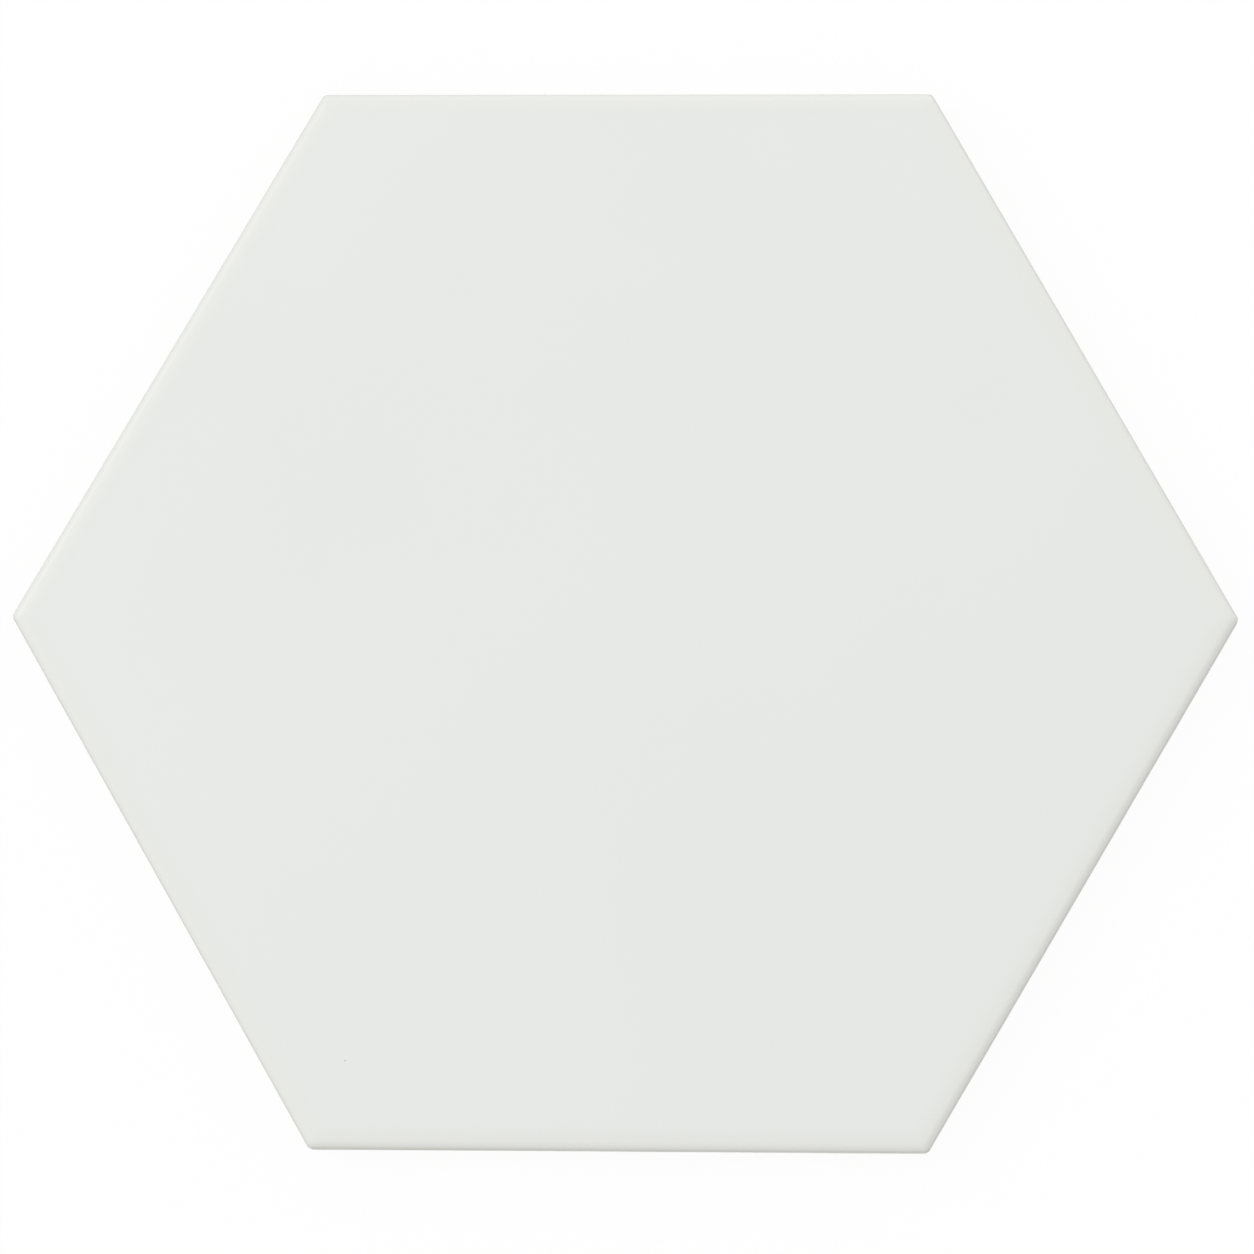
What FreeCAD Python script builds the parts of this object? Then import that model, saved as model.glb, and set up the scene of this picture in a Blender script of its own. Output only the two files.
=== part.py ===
import FreeCAD, Part
import math
import os
import Sketcher
from enum import IntEnum
from FreeCAD import Vector

# Hexagon floor tile, pressed and fired as one piece of glazed porcelain.
# Frame: origin at the middle of the back, +X to a corner, +Y across two flats,
# +Z out of the glazed face. The tile lies flat on its back.

doc = FreeCAD.newDocument("hexagon_floor_tile")

# Driving sizes in millimetres, angles in degrees.
SIZES = {
    "across_flats": (175.0, "width between two opposite sides, at the land"),
    "thickness": (9.0, "back to glazed face"),
    "crown_width": (3.6, "strip beside each side where the face falls away"),
    "crown_angle": (9.0, "slope of that strip where it meets the arris"),
    "arris_radius": (1.7, "rounded top edge"),
    "corner_radius": (1.0, "plan rounding of the six corners"),
    "land_base": (3.6, "height at which the upright land ends"),
    "relief_depth": (0.45, "how far the side draws in from the land to the foot"),
    "foot_radius": (0.6, "rounded bottom edge"),
    "cell_rings": (7, "rings of key cells about the middle one, on the back"),
    "back_border": (6.0, "plain rim from the land to the nearest key cell"),
    "rib_width": (2.0, "web between two key cells, at the back plane"),
    "cell_depth": (0.8, "depth of a key cell"),
    "cell_draft": (18.0, "draft of a key cell's walls"),
}

sheet = doc.addObject("Spreadsheet::Sheet", "sizes")
for row, (alias, (number, meaning)) in enumerate(SIZES.items(), start=1):
    sheet.set(f"A{row}", alias)
    sheet.set(f"B{row}", str(number))
    sheet.set(f"C{row}", meaning)
    sheet.setAlias(f"B{row}", alias)
doc.recompute()

# Sizes that follow from the driving ones, as formulas on the sheet.
HALF_WIDTH = "sizes.across_flats / 2"
CORNER_DISTANCE = "sizes.across_flats / 2 / cos(30 deg)"
CELL_PITCH = ("(sizes.across_flats / 2 - sizes.back_border + sizes.rib_width / sqrt(3))"
              " / (sizes.cell_rings * cos(30 deg) + 1 / sqrt(3))")
CELL_CORNER_DISTANCE = f"({CELL_PITCH} - sizes.rib_width) / sqrt(3)"

SIDES = 6
SIXTH_TURN = math.tau / SIDES
RIGHT_ANGLE = math.pi / 2
UP = Vector(0, 0, 1)
OUTSIDE = 5.0  # how far the side profile reaches past the blank


class Numbering(IntEnum):
    """How a sketch numbers its horizontal axis and the points of a shape."""

    H_AXIS = -1
    START = 1
    END = 2
    CENTRE = 3


H_AXIS, START, END, CENTRE = Numbering
ORIGIN = (H_AXIS, START)


def value(formula):
    """What a formula on the sheet comes to, in millimetres or degrees."""
    return FreeCAD.Units.Quantity(sheet.evalExpression(formula)).Value


def towards(angle):
    """The direction at an angle from +X, as a unit vector in the XY plane."""
    return Vector(math.cos(angle), math.sin(angle), 0)


def origin_feature(body, role):
    """The origin plane or axis of a body, found by its role."""
    return next(item for item in body.Origin.OriginFeatures if item.Role == role)


def new_sketch(body, name, plane):
    sketch = body.newObject("Sketcher::SketchObject", name)
    sketch.AttachmentSupport = [(origin_feature(body, plane), "")]
    sketch.MapMode = "FlatFace"
    return sketch


def constrain(sketch, kind, *places):
    sketch.addConstraint(Sketcher.Constraint(kind, *places))


def bind(sketch, name, formula, kind, *places):
    """Add a named dimension to a sketch and tie it to a formula on the sheet."""
    number = math.radians(value(formula)) if kind == "Angle" else value(formula)
    constrain(sketch, kind, *places, number)
    sketch.renameConstraint(sketch.ConstraintCount - 1, name)
    sketch.setExpression(f"Constraints.{name}", formula)


def draw_lines(sketch, points):
    """Straight lines through the points, joined end to start."""
    lines = []
    for start, end in zip(points, points[1:]):
        lines.append(sketch.addGeometry(Part.LineSegment(start, end), False))
    for first, second in zip(lines, lines[1:]):
        constrain(sketch, "Coincident", first, END, second, START)
    return lines


def draw_arc(sketch, centre, radius, start_angle, end_angle):
    circle = Part.Circle(centre, UP, radius)
    return sketch.addGeometry(Part.ArcOfCircle(circle, start_angle, end_angle), False)


def draw_hexagon(sketch, middle, size_name, size_formula, first_corner):
    """A regular hexagon on a construction circle; returns the circle and the sides."""
    radius = value(size_formula)
    corners = [middle + towards(first_corner + SIXTH_TURN * step) * radius
               for step in range(SIDES + 1)]
    circle = sketch.addGeometry(Part.Circle(middle, UP, radius), True)
    sides = draw_lines(sketch, corners)
    constrain(sketch, "Coincident", sides[-1], END, sides[0], START)
    for side in sides:
        constrain(sketch, "PointOnObject", side, START, circle)
    for side in sides[1:]:
        constrain(sketch, "Equal", sides[0], side)
    bind(sketch, size_name, size_formula, "Radius", circle)
    return circle, sides


tile = doc.addObject("PartDesign::Body", "hexagon_tile")
tile.Label = "hexagon_tile"

# The blank is a plain hexagonal prism, as wide as the land.
outline = new_sketch(tile, "tile_outline", "XY_Plane")
circle, sides = draw_hexagon(outline, Vector(), "corner_distance", CORNER_DISTANCE, 0)
constrain(outline, "Coincident", circle, CENTRE, *ORIGIN)
constrain(outline, "PointOnObject", sides[0], START, H_AXIS)

blank = tile.newObject("PartDesign::Pad", "blank")
blank.Profile = outline
blank.setExpression("Length", "sizes.thickness")

# The side profile is what the die leaves off the blank above and below the land.
# Above the land the edge turns over the arris into a shallow arc up to the face.
half_width = value(HALF_WIDTH)
top = value("sizes.thickness")
arris = value("sizes.arris_radius")
slope = math.radians(value("sizes.crown_angle"))
crown_start = half_width - value("sizes.crown_width")
crown_run = half_width - arris * (1 - math.sin(slope)) - crown_start
crown_radius = crown_run / math.sin(slope)
land_top = top - crown_radius * (1 - math.cos(slope)) - arris * math.cos(slope)

profile = new_sketch(tile, "side_profile", "YZ_Plane")
crown_arc = draw_arc(profile, Vector(crown_start, top - crown_radius, 0), crown_radius,
                     RIGHT_ANGLE - slope, RIGHT_ANGLE)
arris_arc = draw_arc(profile, Vector(half_width - arris, land_top, 0), arris,
                     0, RIGHT_ANGLE - slope)
above = draw_lines(profile, [
    Vector(half_width, land_top, 0),
    Vector(half_width + OUTSIDE, land_top, 0),
    Vector(half_width + OUTSIDE, top + OUTSIDE, 0),
    Vector(crown_start, top + OUTSIDE, 0),
    Vector(crown_start, top, 0),
])
constrain(profile, "Coincident", above[0], START, arris_arc, START)
constrain(profile, "Tangent", arris_arc, END, crown_arc, START)
constrain(profile, "Coincident", crown_arc, END, above[-1], END)
constrain(profile, "Horizontal", arris_arc, START, arris_arc, CENTRE)
constrain(profile, "Vertical", crown_arc, END, crown_arc, CENTRE)
for line, direction in zip(above, ("Horizontal", "Vertical", "Horizontal", "Vertical")):
    constrain(profile, direction, line)
constrain(profile, "DistanceX", above[0], START, above[0], END, OUTSIDE)
constrain(profile, "DistanceY", above[3], END, above[3], START, OUTSIDE)
bind(profile, "land_distance", HALF_WIDTH, "DistanceX", *ORIGIN, arris_arc, START)
bind(profile, "face_height", "sizes.thickness", "DistanceY", *ORIGIN, crown_arc, END)
bind(profile, "crown_width", "sizes.crown_width",
     "DistanceX", crown_arc, END, arris_arc, START)
bind(profile, "crown_angle", "sizes.crown_angle * 1 deg", "Angle", crown_arc)
bind(profile, "arris_radius", "sizes.arris_radius", "Radius", arris_arc)

# Below the land the side draws in along a long arc, so that two tiles meet only at
# their lands, and ends in a rounded foot.
foot = value("sizes.foot_radius")
land_base = value("sizes.land_base")
draw_in = value("sizes.relief_depth")
foot_slope = 2 * math.atan(draw_in / (land_base - foot))
relief_radius = draw_in / (1 - math.cos(foot_slope))
foot_middle = half_width - draw_in - foot * math.cos(foot_slope)

relief_arc = draw_arc(profile, Vector(half_width - relief_radius, land_base, 0),
                      relief_radius, -foot_slope, 0)
foot_arc = draw_arc(profile, Vector(foot_middle, foot, 0), foot, -RIGHT_ANGLE, -foot_slope)
below = draw_lines(profile, [
    Vector(foot_middle, 0, 0),
    Vector(foot_middle, -OUTSIDE, 0),
    Vector(half_width + OUTSIDE, -OUTSIDE, 0),
    Vector(half_width + OUTSIDE, land_base, 0),
    Vector(half_width, land_base, 0),
])
constrain(profile, "Coincident", below[0], START, foot_arc, START)
constrain(profile, "Tangent", foot_arc, END, relief_arc, START)
constrain(profile, "Coincident", relief_arc, END, below[-1], END)
constrain(profile, "PointOnObject", foot_arc, START, H_AXIS)
constrain(profile, "Vertical", foot_arc, START, foot_arc, CENTRE)
constrain(profile, "Horizontal", relief_arc, END, relief_arc, CENTRE)
constrain(profile, "Vertical", relief_arc, END, arris_arc, START)
for line, direction in zip(below, ("Vertical", "Horizontal", "Vertical", "Horizontal")):
    constrain(profile, direction, line)
constrain(profile, "DistanceY", below[0], END, below[0], START, OUTSIDE)
constrain(profile, "DistanceX", below[3], END, below[3], START, OUTSIDE)
bind(profile, "land_base", "sizes.land_base", "DistanceY", *ORIGIN, relief_arc, END)
bind(profile, "relief_depth", "sizes.relief_depth",
     "DistanceX", relief_arc, START, relief_arc, END)
bind(profile, "foot_radius", "sizes.foot_radius", "Radius", foot_arc)

side_form = tile.newObject("PartDesign::Pocket", "side_form")
side_form.Profile = profile
side_form.SideType = "Symmetric"
side_form.setExpression("Length", "2 * sizes.across_flats")

six_sides = tile.newObject("PartDesign::PolarPattern", "six_sides")
six_sides.Originals = [side_form]
six_sides.Axis = (origin_feature(tile, "Z_Axis"), [""])
six_sides.Angle = 360
six_sides.Occurrences = SIDES
tile.Tip = six_sides
doc.recompute()


def on_mitre(point):
    """Whether a point lies on one of the six upright planes through the corners."""
    turn = math.atan2(point.y, point.x)
    return abs(turn - SIXTH_TURN * round(turn / SIXTH_TURN)) < 0.0001


# The corners are rounded where two neighbouring sides meet, from foot to crown.
mitres = []
for index, edge in enumerate(six_sides.Shape.Edges, start=1):
    if edge.Length < top and all(on_mitre(vertex.Point) for vertex in edge.Vertexes):
        mitres.append(f"Edge{index}")

corners = tile.newObject("PartDesign::Fillet", "rounded_corners")
corners.Base = (six_sides, mitres)
corners.setExpression("Radius", "sizes.corner_radius")
tile.Tip = corners

# The back is keyed for mortar by hexagonal cells in rings about a middle cell. Their
# flats face the tile's corners, and their walls are drafted so that the punch leaves.
pitch = value(CELL_PITCH)


def cell_sketch(name, distance):
    """The outline of one key cell, with its middle on the X axis."""
    sketch = new_sketch(tile, name, "XY_Plane")
    circle, sides = draw_hexagon(sketch, Vector(distance, 0, 0), "corner_distance",
                                 CELL_CORNER_DISTANCE, SIXTH_TURN / 2)
    constrain(sketch, "Vertical", sides[-1])
    return sketch, circle


def press_cell(name, sketch):
    cell = tile.newObject("PartDesign::Pocket", name)
    cell.Profile = sketch
    cell.Reversed = True
    cell.setExpression("Length", "sizes.cell_depth")
    cell.setExpression("TaperAngle", "sizes.cell_draft * -1 deg")
    return cell


middle_outline, circle = cell_sketch("middle_cell_outline", 0)
constrain(middle_outline, "Coincident", circle, CENTRE, *ORIGIN)
middle_cell = press_cell("middle_cell", middle_outline)

# Steps along X and along a slanted guide line, a third of a turn from X, fill a third of
# the rings, and three turns fill the rest.
ring_outline, circle = cell_sketch("ring_cell_outline", pitch)
constrain(ring_outline, "PointOnObject", circle, CENTRE, H_AXIS)
bind(ring_outline, "pitch", CELL_PITCH, "DistanceX", *ORIGIN, circle, CENTRE)
slant = ring_outline.addGeometry(
    Part.LineSegment(Vector(), towards(2 * SIXTH_TURN) * pitch), True)
constrain(ring_outline, "Coincident", slant, START, *ORIGIN)
constrain(ring_outline, "Angle", slant, 2 * SIXTH_TURN)
bind(ring_outline, "slant_length", CELL_PITCH, "Distance", slant)
ring_cell = press_cell("ring_cell", ring_outline)


def repeat_cell(name, direction, count):
    steps = doc.addObject("PartDesign::LinearPattern", name)
    steps.Direction = (ring_outline, [direction])
    steps.Mode = "Spacing"
    steps.setExpression("Offset", CELL_PITCH)
    steps.setExpression("Occurrences", count)
    return steps


thirds = doc.addObject("PartDesign::PolarPattern", "three_turns")
thirds.Axis = (origin_feature(tile, "Z_Axis"), [""])
thirds.Angle = 360
thirds.Occurrences = 3

key_cells = tile.newObject("PartDesign::MultiTransform", "key_cells")
key_cells.Originals = [ring_cell]
key_cells.Transformations = [
    repeat_cell("steps_out", "H_Axis", "sizes.cell_rings"),
    repeat_cell("steps_round", "Axis0", "sizes.cell_rings + 1"),
    thirds,
]
key_cells.Refine = False
tile.Tip = key_cells
tile.Placement = FreeCAD.Placement()
doc.recompute()

for item in doc.Objects:
    if "Invalid" in item.State or "Error" in item.State:
        raise RuntimeError(f"{item.Name} did not build: {item.State}")
rings = round(value("sizes.cell_rings"))
ring_cells = 3 * rings * (rings + 1)
one_cell = middle_cell.BaseFeature.Shape.Volume - middle_cell.Shape.Volume
cut_by_rings = middle_cell.Shape.Volume - tile.Shape.Volume
if one_cell <= 0 or abs(cut_by_rings - ring_cells * one_cell) > 0.001 * cut_by_rings:
    raise RuntimeError("the key cells were not cut whole")
if tile.Shape.isNull() or not tile.Shape.isValid() or len(tile.Shape.Solids) != 1:
    raise RuntimeError(f"{tile.Label} is not one valid solid")

os.makedirs("parts", exist_ok=True)
tile.Shape.exportStep(f"parts/{tile.Label}.step")
print(tile.Label, "volume", round(tile.Shape.Volume / 1000, 2), "cm3")
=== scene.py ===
import math

import bmesh
import bpy
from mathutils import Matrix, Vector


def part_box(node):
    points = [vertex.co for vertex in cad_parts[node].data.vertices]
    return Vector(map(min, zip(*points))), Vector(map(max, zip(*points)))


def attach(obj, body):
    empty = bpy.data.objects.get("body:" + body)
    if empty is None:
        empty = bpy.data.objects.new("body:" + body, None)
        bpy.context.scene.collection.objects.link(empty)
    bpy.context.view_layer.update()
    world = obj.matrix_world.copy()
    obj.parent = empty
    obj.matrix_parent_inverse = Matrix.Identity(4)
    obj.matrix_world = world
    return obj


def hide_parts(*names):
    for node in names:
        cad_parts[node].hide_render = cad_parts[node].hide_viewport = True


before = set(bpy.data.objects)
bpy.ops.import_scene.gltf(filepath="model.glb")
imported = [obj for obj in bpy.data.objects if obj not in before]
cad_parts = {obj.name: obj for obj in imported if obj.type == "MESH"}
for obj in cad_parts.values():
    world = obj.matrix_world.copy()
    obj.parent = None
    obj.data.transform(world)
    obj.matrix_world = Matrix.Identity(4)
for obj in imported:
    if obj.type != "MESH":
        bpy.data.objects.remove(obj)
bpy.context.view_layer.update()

# The glazed face and edge. The tile is one piece of porcelain, pressed from powder and
# fired, a regular hexagon that lies flat on its back. A matt white glaze covers the face,
# rolls over the softened top edge and ends in a thin lip part way down the sides.
MM = 0.001
HALF_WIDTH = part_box("hexagon_tile")[1].y
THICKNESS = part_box("hexagon_tile")[1].z
CROWN_WIDTH = 3.6 * MM
CROWN_SLOPE = 9
ARRIS_RADIUS = 1.7 * MM
LIP_HEIGHT = 5.2 * MM
GLAZE_THICKNESS = 0.12 * MM
FACE_CUTS = 47
CROWN_STEPS = 6
ARRIS_STEPS = 12
LIP_STEPS = 3
RINGS_ABOVE_LIP = (1.5 * MM, 1.0 * MM, 0.5 * MM, 0.15 * MM, 0)
COS_30 = math.cos(math.radians(30))
MIDDLE = (0, 0, 0)


def select(kind, test):
    """Select, in edit mode, the faces, edges or vertices that pass the test."""
    bpy.ops.mesh.select_mode(type=kind)
    bpy.ops.mesh.select_all(action="DESELECT")
    shape = bmesh.from_edit_mesh(bpy.context.object.data)
    parts = {"VERT": shape.verts, "EDGE": shape.edges, "FACE": shape.faces}[kind]
    for part in parts:
        part.select_set(test(part))
    shape.select_flush_mode()
    bmesh.update_edit_mesh(bpy.context.object.data)


def arc(centre_out, centre_up, radius, start, end, steps):
    """Points (distance out, height) along an arc, without its start; degrees from outwards."""
    points = []
    for step in range(1, steps + 1):
        angle = math.radians(start + (end - start) * step / steps)
        points.append((centre_out + radius * math.cos(angle),
                       centre_up + radius * math.sin(angle)))
    return points


def extrude_rim(profile):
    """Carry the selected rim of the hexagon along a profile of (distance out, height)."""
    for (out, up), (next_out, next_up) in zip(profile, profile[1:]):
        drop = (0, 0, next_up - up)
        bpy.ops.mesh.extrude_edges_move(TRANSFORM_OT_translate={"value": drop})
        grow = next_out / out
        bpy.ops.transform.resize(value=(grow, grow, 1), center_override=MIDDLE)


slope = math.radians(CROWN_SLOPE)
crown_radius = (CROWN_WIDTH - ARRIS_RADIUS * (1 - math.sin(slope))) / math.sin(slope)
flat_edge = HALF_WIDTH - CROWN_WIDTH
land_top = (THICKNESS - crown_radius * (1 - math.cos(slope))
            - ARRIS_RADIUS * math.cos(slope))

bpy.ops.object.select_all(action="DESELECT")
bpy.ops.mesh.primitive_circle_add(
    vertices=6, radius=flat_edge / COS_30, fill_type="TRIFAN",
    location=(0, 0, THICKNESS), rotation=(0, 0, math.radians(30)))
tile = bpy.context.object
tile.name = "porcelain_tile"
bpy.ops.object.transform_apply()
bpy.ops.object.mode_set(mode="EDIT")
bpy.ops.mesh.subdivide(number_cuts=FACE_CUTS)
bpy.ops.mesh.region_to_loop()

glaze_profile = [(flat_edge, THICKNESS)]
glaze_profile += arc(flat_edge, THICKNESS - crown_radius, crown_radius,
                     90, 90 - CROWN_SLOPE, CROWN_STEPS)
glaze_profile += arc(HALF_WIDTH - ARRIS_RADIUS, land_top, ARRIS_RADIUS,
                     90 - CROWN_SLOPE, 0, ARRIS_STEPS)
glaze_profile += [(HALF_WIDTH, LIP_HEIGHT + ring) for ring in RINGS_ABOVE_LIP]
glaze_profile += arc(HALF_WIDTH - GLAZE_THICKNESS, LIP_HEIGHT, GLAZE_THICKNESS,
                     0, -90, LIP_STEPS)
extrude_rim(glaze_profile)

# The bare side and foot. Below the lip the pressed body shows. It stands upright as far
# as the land reaches, then draws in along a shallow arc to a rounded foot, so that
# neighbouring tiles only meet at their lands. The six corners are rounded all the way.
LAND_BASE = 3.6 * MM
RELIEF_DEPTH = 0.45 * MM
FOOT_RADIUS = 0.6 * MM
CORNER_RADIUS = 1.0 * MM
RIM_HOLD = 0.3 * MM
RINGS_ABOVE_LAND_BASE = (1.1 * MM, 0.7 * MM, 0.3 * MM, 0)
RELIEF_STEPS = 5
FOOT_STEPS = 6
CORNER_STEPS = 6
CORNER_MARGIN = 0.01
FACE_MARGIN = 0.001 * MM
TAN_30 = math.tan(math.radians(30))

bare_width = HALF_WIDTH - GLAZE_THICKNESS
draw_in = RELIEF_DEPTH - GLAZE_THICKNESS
foot_slope = 2 * math.atan(draw_in / (LAND_BASE - FOOT_RADIUS))
relief_radius = draw_in / (1 - math.cos(foot_slope))
foot_middle = bare_width - draw_in - FOOT_RADIUS * math.cos(foot_slope)

bare_profile = [(bare_width, LIP_HEIGHT - GLAZE_THICKNESS)]
bare_profile += [(bare_width, LAND_BASE + ring) for ring in RINGS_ABOVE_LAND_BASE]
bare_profile += arc(bare_width - relief_radius, LAND_BASE, relief_radius,
                    0, -math.degrees(foot_slope), RELIEF_STEPS)
bare_profile += arc(foot_middle, FOOT_RADIUS, FOOT_RADIUS,
                    -math.degrees(foot_slope), -90, FOOT_STEPS)
bare_profile += [(foot_middle - RIM_HOLD, 0)]
extrude_rim(bare_profile)


def on_mitre(edge):
    """Whether an edge runs down one of the six corners, below the flat of the face."""
    for vertex in edge.verts:
        turn = math.degrees(math.atan2(vertex.co.y, vertex.co.x))
        if abs(turn - 60 * round(turn / 60)) > CORNER_MARGIN:
            return False
    return min(vertex.co.z for vertex in edge.verts) < THICKNESS - FACE_MARGIN


select("EDGE", on_mitre)
bpy.ops.mesh.bevel(offset_type="OFFSET", offset=CORNER_RADIUS * TAN_30,
                   segments=CORNER_STEPS, affect="EDGES")
bpy.ops.object.mode_set(mode="OBJECT")

# The keyed back. Hexagonal cells, pressed 0.8 mm deep in rings about a middle one, give
# the mortar its grip. Their walls are drafted so that the punch leaves, and the corners
# and edges are rounded. The rib tops and a plain rim lie in the plane of the bed.
KEY_RINGS = 7
BACK_BORDER = 6.0 * MM
RIB_WIDTH = 2.0 * MM
CELL_DEPTH = 0.8 * MM
CELL_DRAFT = 18
CELL_ROUNDING = 0.35 * MM
CELL_CORNER_RADIUS = 1.0 * MM
CELL_ROUNDING_STEPS = 2
CELL_CORNER_STEPS = 3
THIRD_TURN = 120
BED_MARGIN = 0.02 * MM

cell_pitch = ((HALF_WIDTH - BACK_BORDER + RIB_WIDTH * TAN_30)
              / (KEY_RINGS * COS_30 + TAN_30))
mouth_width = (cell_pitch - RIB_WIDTH) / 2
draft = math.radians(CELL_DRAFT)
rounding_reach = CELL_ROUNDING * math.tan((math.pi / 2 - draft) / 2)
brim_width = mouth_width + rounding_reach
pan_width = mouth_width - CELL_DEPTH * math.tan(draft) - rounding_reach

cell_profile = [(brim_width, 0)]
cell_profile += arc(brim_width, CELL_ROUNDING, CELL_ROUNDING,
                    -90, CELL_DRAFT - 180, CELL_ROUNDING_STEPS)
cell_profile += [(pan_width + CELL_ROUNDING * math.cos(draft),
                  CELL_DEPTH - CELL_ROUNDING * (1 - math.sin(draft)))]
cell_profile += arc(pan_width, CELL_DEPTH - CELL_ROUNDING, CELL_ROUNDING,
                    CELL_DRAFT, 90, CELL_ROUNDING_STEPS)

bpy.ops.object.select_all(action="DESELECT")
bpy.ops.mesh.primitive_circle_add(vertices=6, radius=brim_width / COS_30)
middle_cell = bpy.context.object
bpy.ops.object.mode_set(mode="EDIT")
bpy.ops.mesh.select_all(action="SELECT")
bpy.ops.mesh.bevel(offset_type="OFFSET", offset=CELL_CORNER_RADIUS * TAN_30,
                   segments=CELL_CORNER_STEPS, affect="VERTICES")
bpy.ops.mesh.select_all(action="SELECT")
extrude_rim(cell_profile)
bpy.ops.mesh.edge_face_add()
bpy.ops.object.mode_set(mode="OBJECT")

# A slanted block of cells is a third of the rings, and two turned copies complete them.
bpy.ops.object.duplicate()
ring_cells = bpy.context.object
bpy.ops.transform.translate(value=(cell_pitch, 0, 0))
bpy.ops.object.transform_apply()
for direction, count in ((0, KEY_RINGS), (THIRD_TURN, KEY_RINGS + 1)):
    angle = math.radians(direction)
    steps = ring_cells.modifiers.new("steps", "ARRAY")
    steps.count = count
    steps.use_relative_offset = False
    steps.use_constant_offset = True
    steps.constant_offset_displace = (cell_pitch * math.cos(angle),
                                      cell_pitch * math.sin(angle), 0)
    bpy.ops.object.modifier_apply(modifier=steps.name)
bpy.ops.object.mode_set(mode="EDIT")
bpy.ops.mesh.select_all(action="SELECT")
for _ in range(2):
    bpy.ops.mesh.duplicate()
    bpy.ops.transform.rotate(value=math.radians(THIRD_TURN), orient_axis="Z",
                             center_override=MIDDLE)
bpy.ops.object.mode_set(mode="OBJECT")

# The cells join the tile, and a flat fill closes the bed from their mouths to its rim.
bpy.ops.object.select_all(action="DESELECT")
for part in (middle_cell, ring_cells, tile):
    part.select_set(True)
bpy.context.view_layer.objects.active = tile
bpy.ops.object.join()
bpy.ops.object.mode_set(mode="EDIT")
select("VERT", lambda vertex: vertex.co.z < BED_MARGIN)
bpy.ops.transform.resize(value=(1, 1, 0), center_override=MIDDLE)
select("EDGE", lambda edge: edge.is_boundary)
bpy.ops.mesh.fill()
bpy.ops.mesh.select_all(action="SELECT")
bpy.ops.mesh.normals_make_consistent(inside=False)
bpy.ops.object.mode_set(mode="OBJECT")

# The glaze is a matt white with a faint cool cast, all but featureless. It thins towards
# the edge and turns a little warmer there. From where it rolls over, it is painted darker:
# partly the body dulling the thin glaze, partly painted shade of the steep edge and sides.
# One pinhole shows near the lower left side; the darker colour in its pit is painted shade.
GLAZE = (0.800, 0.820, 0.797, 1)
GLAZE_CLOUD = (0.793, 0.813, 0.790, 1)
THIN_GLAZE = (0.800, 0.809, 0.779, 1)
# Partly painted shade: the rolled-over edge and the side glaze are darker than the glaze.
EDGE_GLAZE_AND_SHADE = (0.678, 0.680, 0.650, 1)
LIP_GLAZE = (0.680, 0.672, 0.630, 1)
# Painted shade: the pinhole's pit is darker for the shade that falls in it.
PINHOLE_SHADE = (0.56, 0.56, 0.53, 1)
PINHOLE_PLACE = (-44.61 * MM, -73.15 * MM, THICKNESS)
PINHOLE_RADII = (0.16 * MM, 0.05 * MM)
THINNING = (5.5 * MM, 1.5 * MM)
ROLL_OVER = (THICKNESS - 0.65 * MM, THICKNESS - 1.35 * MM)
LIP_BAND = (LIP_HEIGHT + 1.2 * MM, LIP_HEIGHT - 0.4 * MM)
CLOUD_SIZE = 55 * MM
WANDER_SIZE = 9 * MM
WANDER_REACH = 1.5 * MM
GRAIN_SIZE = 0.35 * MM
RIPPLE_SIZE = 2.6 * MM
GLAZE_ROUGHNESS = 0.42
ROUGHNESS_SPREAD = 0.10


class Wire:
    """An output socket in a node tree. Sums, differences and products add Math nodes."""

    def __init__(self, tree, socket):
        self.tree = tree
        self.socket = socket

    def node(self, kind, settings, sockets, output=0):
        """Add a node: its settings first, then the values or wires of its sockets."""
        made = self.tree.nodes.new(kind)
        for name, setting in settings.items():
            setattr(made, name, setting)
        for name, given in sockets.items():
            if isinstance(given, Wire):
                self.tree.links.new(given.socket, made.inputs[name])
            else:
                made.inputs[name].default_value = given
        return Wire(self.tree, made.outputs[output])

    def feed(self, node_name, socket_name):
        self.tree.links.new(self.socket, self.tree.nodes[node_name].inputs[socket_name])

    def maths(self, operation, *terms):
        return self.node("ShaderNodeMath", {"operation": operation},
                         dict(enumerate((self,) + terms)))

    def __add__(self, other):
        return self.maths("ADD", other)

    def __sub__(self, other):
        return self.maths("SUBTRACT", other)

    def __mul__(self, other):
        return self.maths("MULTIPLY", other)

    def __rsub__(self, other):
        return self * -1 + other

    __radd__ = __add__
    __rmul__ = __mul__

    def noise(self, period, detail=2.0):
        """Cloudy values about 0.5 at this place, with features about a period apart."""
        return self.node("ShaderNodeTexNoise", {}, {
            "Vector": self, "Scale": 1 / period, "Detail": detail})

    def rise(self, low, high):
        """0 where this is at low and 1 where it is at high, smooth in between."""
        return self.node("ShaderNodeMapRange", {"interpolation_type": "SMOOTHSTEP"}, {
            "Value": self, "From Min": low, "From Max": high})

    def blend(self, first, second):
        """The first colour where this is 0 and the second where it is 1."""
        return self.node("ShaderNodeMix", {"data_type": "RGBA"},
                         {0: self, 6: first, 7: second}, output=2)

    def axes(self):
        """The X, Y and Z of this place."""
        return [self.node("ShaderNodeSeparateXYZ", {}, {"Vector": self}, output=axis)
                for axis in range(3)]


def new_material(name):
    """A new material, and its object coordinates as a wire."""
    material = bpy.data.materials.new(name)
    material.use_nodes = True
    tree = material.node_tree
    return material, Wire(tree, tree.nodes.new("ShaderNodeTexCoord").outputs["Object"])


glaze, place = new_material("matt_white_glaze")
across, along, height = place.axes()
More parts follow.
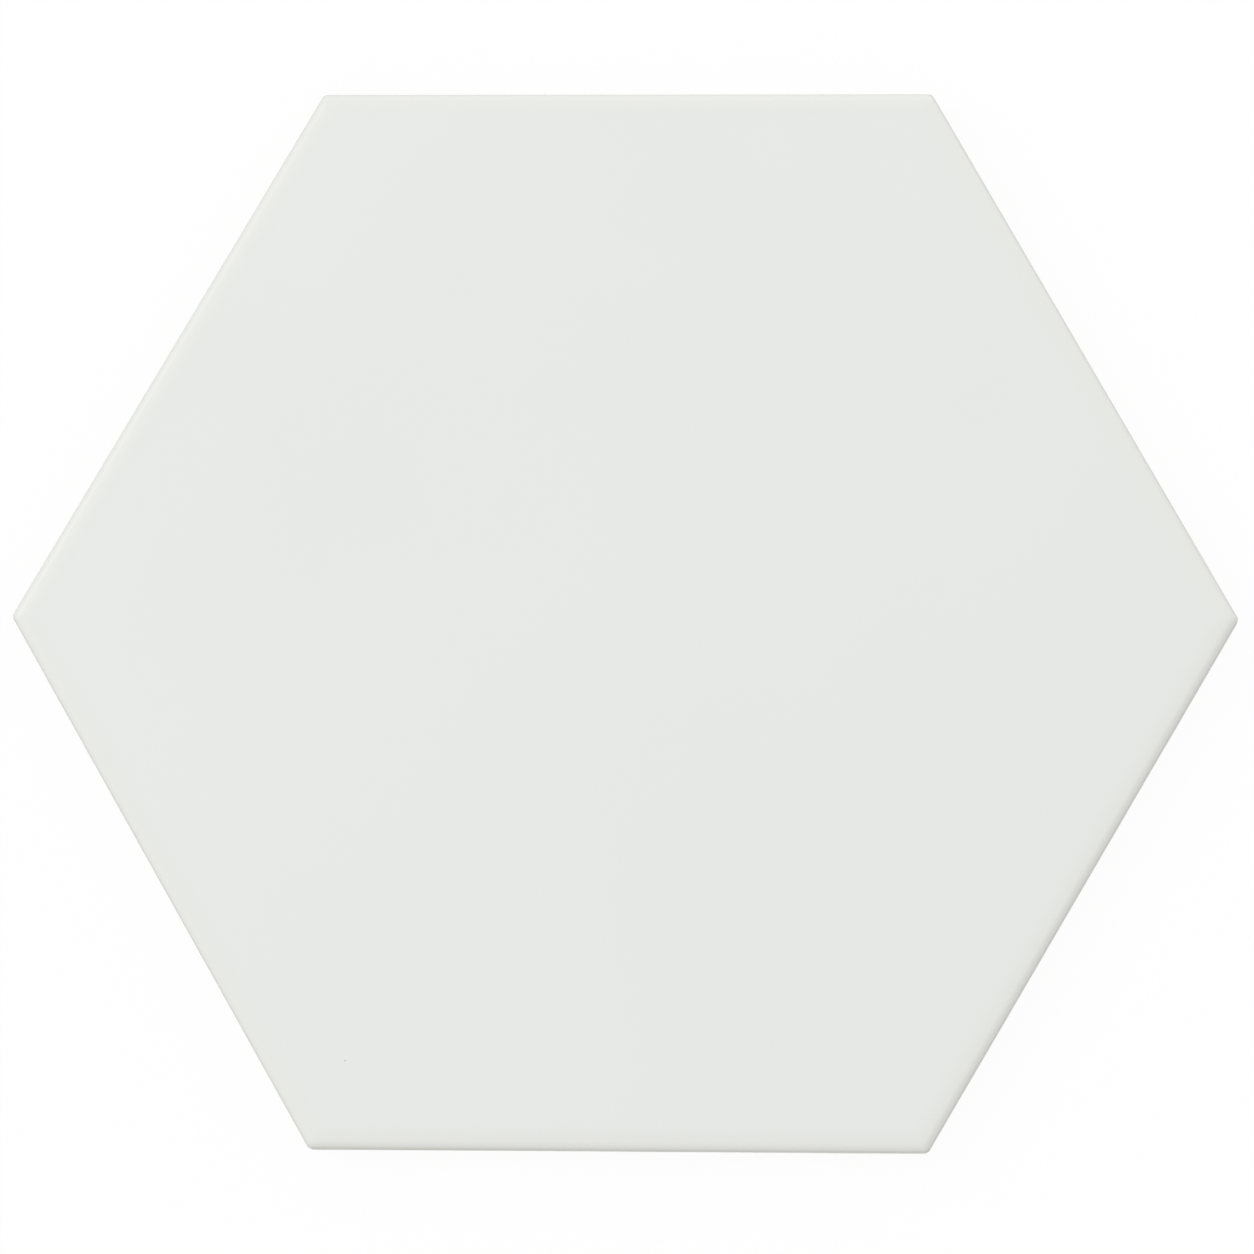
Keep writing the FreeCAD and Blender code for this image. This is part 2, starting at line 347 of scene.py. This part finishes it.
# How far out a place is, measured square to the side that it is nearest to.
reach = along.maths("ABSOLUTE").maths(
    "MAXIMUM", across.maths("ABSOLUTE") * COS_30 + along.maths("ABSOLUTE") * 0.5)
from_side = HALF_WIDTH - reach + (place.noise(WANDER_SIZE) - 0.5) * WANDER_REACH
to_pinhole = place.node("ShaderNodeVectorMath", {"operation": "DISTANCE"},
                        {0: place, 1: PINHOLE_PLACE}, output=1)
pinhole = to_pinhole.rise(*PINHOLE_RADII)
grain = place.noise(GRAIN_SIZE, detail=4)

tone = place.noise(CLOUD_SIZE).rise(0.35, 0.65).blend(GLAZE, GLAZE_CLOUD)
tone = from_side.rise(*THINNING).blend(tone, THIN_GLAZE)
# Painted shade, partly real: darker from the rolled-over edge down the sides.
tone = height.rise(*ROLL_OVER).blend(tone, EDGE_GLAZE_AND_SHADE)
tone = height.rise(*LIP_BAND).blend(tone, LIP_GLAZE)
# Painted shade: the pinhole is painted darker, besides its dent in the relief.
pinhole.blend(tone, PINHOLE_SHADE).feed("Principled BSDF", "Base Color")
(GLAZE_ROUGHNESS + (grain - 0.5) * ROUGHNESS_SPREAD).feed("Principled BSDF", "Roughness")
# The relief is in millimetres.
relief = place.noise(RIPPLE_SIZE) * 0.008 + grain * 0.0012 - pinhole * 0.08
place.node("ShaderNodeBump", {}, {"Height": relief, "Distance": MM}).feed(
    "Principled BSDF", "Normal")

# The biscuit is the fired body, a pale warm grey with the fine specks of its granules.
# Specks of glaze have landed under the lip, and the rib tops keep some kiln wash.
BISCUIT = (0.610, 0.575, 0.520, 1)
PALE_GRANULE = (0.680, 0.650, 0.600, 1)
DARK_GRANULE = (0.430, 0.390, 0.340, 1)
KILN_WASH = (0.780, 0.775, 0.755, 1)
BISCUIT_ROUGHNESS = 0.85
PATCH_SIZE = 14 * MM
PALE_GRANULE_SIZE = 1.3 * MM
DARK_GRANULE_SIZE = 0.8 * MM
BODY_GRAIN_SIZE = 0.5 * MM
SPATTER_SIZE = 0.6 * MM
WASH_SIZE = 11 * MM
WASH_HEIGHT = (0.30 * MM, 0.05 * MM)
UNEVENNESS_SIZE = 3.5 * MM

biscuit, place = new_material("bare_biscuit")
height = place.axes()[2]
grain = place.noise(BODY_GRAIN_SIZE, detail=5)
spatter = (place.noise(SPATTER_SIZE, detail=3).rise(0.56, 0.62)
           * height.rise(LAND_BASE, LIP_HEIGHT))
wash = (height.rise(*WASH_HEIGHT) * place.noise(WASH_SIZE).rise(0.42, 0.60)
        * grain.rise(0.35, 0.55))

tone = place.noise(PATCH_SIZE).rise(0.35, 0.7).blend(BISCUIT, PALE_GRANULE)
tone = place.noise(PALE_GRANULE_SIZE).rise(0.55, 0.72).blend(tone, PALE_GRANULE)
tone = place.noise(DARK_GRANULE_SIZE).rise(0.66, 0.74).blend(tone, DARK_GRANULE)
tone = spatter.blend(tone, GLAZE)
wash.blend(tone, KILN_WASH).feed("Principled BSDF", "Base Color")
(BISCUIT_ROUGHNESS + wash * 0.10 - spatter * 0.30).feed("Principled BSDF", "Roughness")
# The relief is in millimetres.
relief = grain * 0.02 + place.noise(UNEVENNESS_SIZE) * 0.03 + spatter * 0.01
place.node("ShaderNodeBump", {}, {"Height": relief, "Distance": MM}).feed(
    "Principled BSDF", "Normal")

# The lip is where the sprayed glaze stops. Before the firing it settles into slow waves,
# with a few drips that run further down over the bare body.
LIP_REACH = 1.5 * MM
WAVES = (("slow_waves", 18 * MM, 1.6 * MM, 0.5, 0.0),
         ("drips", 7 * MM, -0.9 * MM, 0.0, 0.62))
SHARP_FROM = 40

tile.data.materials.append(glaze)
tile.data.materials.append(biscuit)
for face in tile.data.polygons:
    face.material_index = 0 if face.center.z > LIP_HEIGHT - GLAZE_THICKNESS else 1

lip = tile.vertex_groups.new(name="lip")
for vertex in tile.data.vertices:
    weight = 1 - abs(vertex.co.z - LIP_HEIGHT) / LIP_REACH
    if weight > 0:
        lip.add([vertex.index], weight, "REPLACE")
for name, size, strength, level, threshold in WAVES:
    texture = bpy.data.textures.new(name, "CLOUDS")
    texture.noise_scale = size
    if threshold:
        texture.use_color_ramp = True
        texture.color_ramp.elements[0].position = threshold
        texture.color_ramp.elements[0].color = (0, 0, 0, 1)
        texture.color_ramp.elements[1].color = (1, 1, 1, 1)
    wave = tile.modifiers.new(name, "DISPLACE")
    wave.texture = texture
    wave.texture_coords = "LOCAL"
    wave.direction = "Z"
    wave.mid_level = level
    wave.strength = strength
    # The group goes in by its name, because an applied modifier leaves lip out of date.
    wave.vertex_group = "lip"
    bpy.ops.object.modifier_apply(modifier=wave.name)

bpy.ops.object.shade_smooth_by_angle(angle=math.radians(SHARP_FROM))
flats = tile.modifiers.new("flats", "WEIGHTED_NORMAL")
flats.keep_sharp = True
bpy.ops.object.modifier_apply(modifier=flats.name)

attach(tile, "root")
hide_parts("hexagon_tile")

# The floor is plain and pale. The camera and reflections see it white with a faint
# shadow of the tile, and a duller tone of it lights the sides. It is open under the tile
# and clear from below, so that the back can be looked at.
FLOOR_REACH = 3.0
FLOOR_SEEN = (0.98, 0.98, 0.98, 1)
FLOOR_LIT = (0.59, 0.57, 0.52, 1)
FLOOR_ROUGHNESS = 0.9
SHADOW_SHARE = 0.06
WHITE = (1, 1, 1, 1)


def ray_kind(wire):
    """1 for rays from the camera, a reflection or through glass, and 0 for light."""
    kinds = [wire.node("ShaderNodeLightPath", {}, {}, output=name)
             for name in ("Is Camera Ray", "Is Glossy Ray", "Is Transmission Ray")]
    return kinds[0].maths("MAXIMUM", kinds[1]).maths("MAXIMUM", kinds[2])


opening = bare_width - draw_in
bpy.ops.object.select_all(action="DESELECT")
bpy.ops.mesh.primitive_circle_add(vertices=6, radius=opening / COS_30,
                                  rotation=(0, 0, math.radians(30)))
floor = bpy.context.object
floor.name = "floor"
bpy.ops.object.transform_apply()
bpy.ops.object.mode_set(mode="EDIT")
bpy.ops.mesh.select_all(action="SELECT")
bpy.ops.mesh.extrude_edges_move()
grow = FLOOR_REACH / opening
bpy.ops.transform.resize(value=(grow, grow, 1), center_override=MIDDLE)
bpy.ops.mesh.select_all(action="SELECT")
bpy.ops.mesh.normals_make_consistent(inside=False)
bpy.ops.object.mode_set(mode="OBJECT")
if floor.data.polygons[0].normal.z < 0:
    floor.data.flip_normals()

pale, place = new_material("pale_floor")
matt = pale.node_tree.nodes["Principled BSDF"]
matt.inputs["Roughness"].default_value = FLOOR_ROUGHNESS
matt.inputs["Specular IOR Level"].default_value = 0
seen = ray_kind(place)
seen.blend(FLOOR_LIT, FLOOR_SEEN).feed("Principled BSDF", "Base Color")
glow = place.node("ShaderNodeEmission", {}, {"Color": WHITE, "Strength": 1})
top_side = place.node("ShaderNodeMixShader", {}, {
    0: seen * (1 - SHADOW_SHARE), 1: Wire(place.tree, matt.outputs["BSDF"]), 2: glow})
under_side = place.node("ShaderNodeBsdfTransparent", {}, {"Color": WHITE})
from_below = place.node("ShaderNodeNewGeometry", {}, {}, output="Backfacing")
place.node("ShaderNodeMixShader", {}, {0: from_below, 1: top_side, 2: under_side}).feed(
    "Material Output", "Surface")
floor.data.materials.append(pale)

# Plain soft studio light. An even surround gives most of it, a broad key lamp stands out
# beyond the upper left side and a weak low panel beyond the upper right corner. A lamp's
# strength is its light on a surface that faces it, as a share of all that the face gets.
SURROUND = 0.802
# A lamp's name, its azimuth and elevation in degrees, its distance, size and strength.
LAMPS = (
    ("key_lamp", 160, 42, 2.4, (1.1, 1.1), 0.26),
    ("low_panel", 52, 9, 1.0, (0.48, 0.30), 0.15),
)

studio = bpy.data.worlds.new("studio")
studio.use_nodes = True
bpy.context.scene.world = studio
sky = studio.node_tree
direction = Wire(sky, sky.nodes.new("ShaderNodeTexCoord").outputs["Generated"])
open_side = ray_kind(direction).maths("MAXIMUM", direction.axes()[2].maths("LESS_THAN", 0))
surround = direction.node("ShaderNodeBackground", {}, {"Color": WHITE, "Strength": SURROUND})
backdrop = direction.node("ShaderNodeBackground", {}, {"Color": WHITE, "Strength": 1})
direction.node("ShaderNodeMixShader", {}, {0: open_side, 1: surround, 2: backdrop}).feed(
    "World Output", "Surface")
sky.nodes.remove(sky.nodes["Background"])

for name, azimuth, elevation, distance, (width, depth), strength in LAMPS:
    turn = math.radians(azimuth)
    lift = math.radians(elevation)
    bpy.ops.object.light_add(type="AREA", location=(
        distance * math.cos(lift) * math.cos(turn),
        distance * math.cos(lift) * math.sin(turn), distance * math.sin(lift)))
    lamp = bpy.context.object
    lamp.name = name
    lamp.rotation_euler = (-lamp.location).to_track_quat("-Z", "Y").to_euler()
    lamp.data.shape = "RECTANGLE"
    lamp.data.size = width
    lamp.data.size_y = depth
    lamp.data.energy = strength * math.pi ** 2 * distance ** 2

# The camera looks down on the face from almost straight above, as in the photograph. Its
# long lens draws the near and far sides of the tile at almost the same size.
CAMERA_PLACE = (0.0620, -0.1382, 1.1430)
CAMERA_TURN = (6.883, 3.024, 0.526)
CAMERA_LENS = 200

bpy.ops.object.camera_add(location=CAMERA_PLACE,
                          rotation=[math.radians(turn) for turn in CAMERA_TURN])
camera = bpy.context.object
camera.name = "camera"
camera.data.lens = CAMERA_LENS
bpy.context.scene.camera = camera
bpy.context.scene.view_settings.view_transform = "Standard"
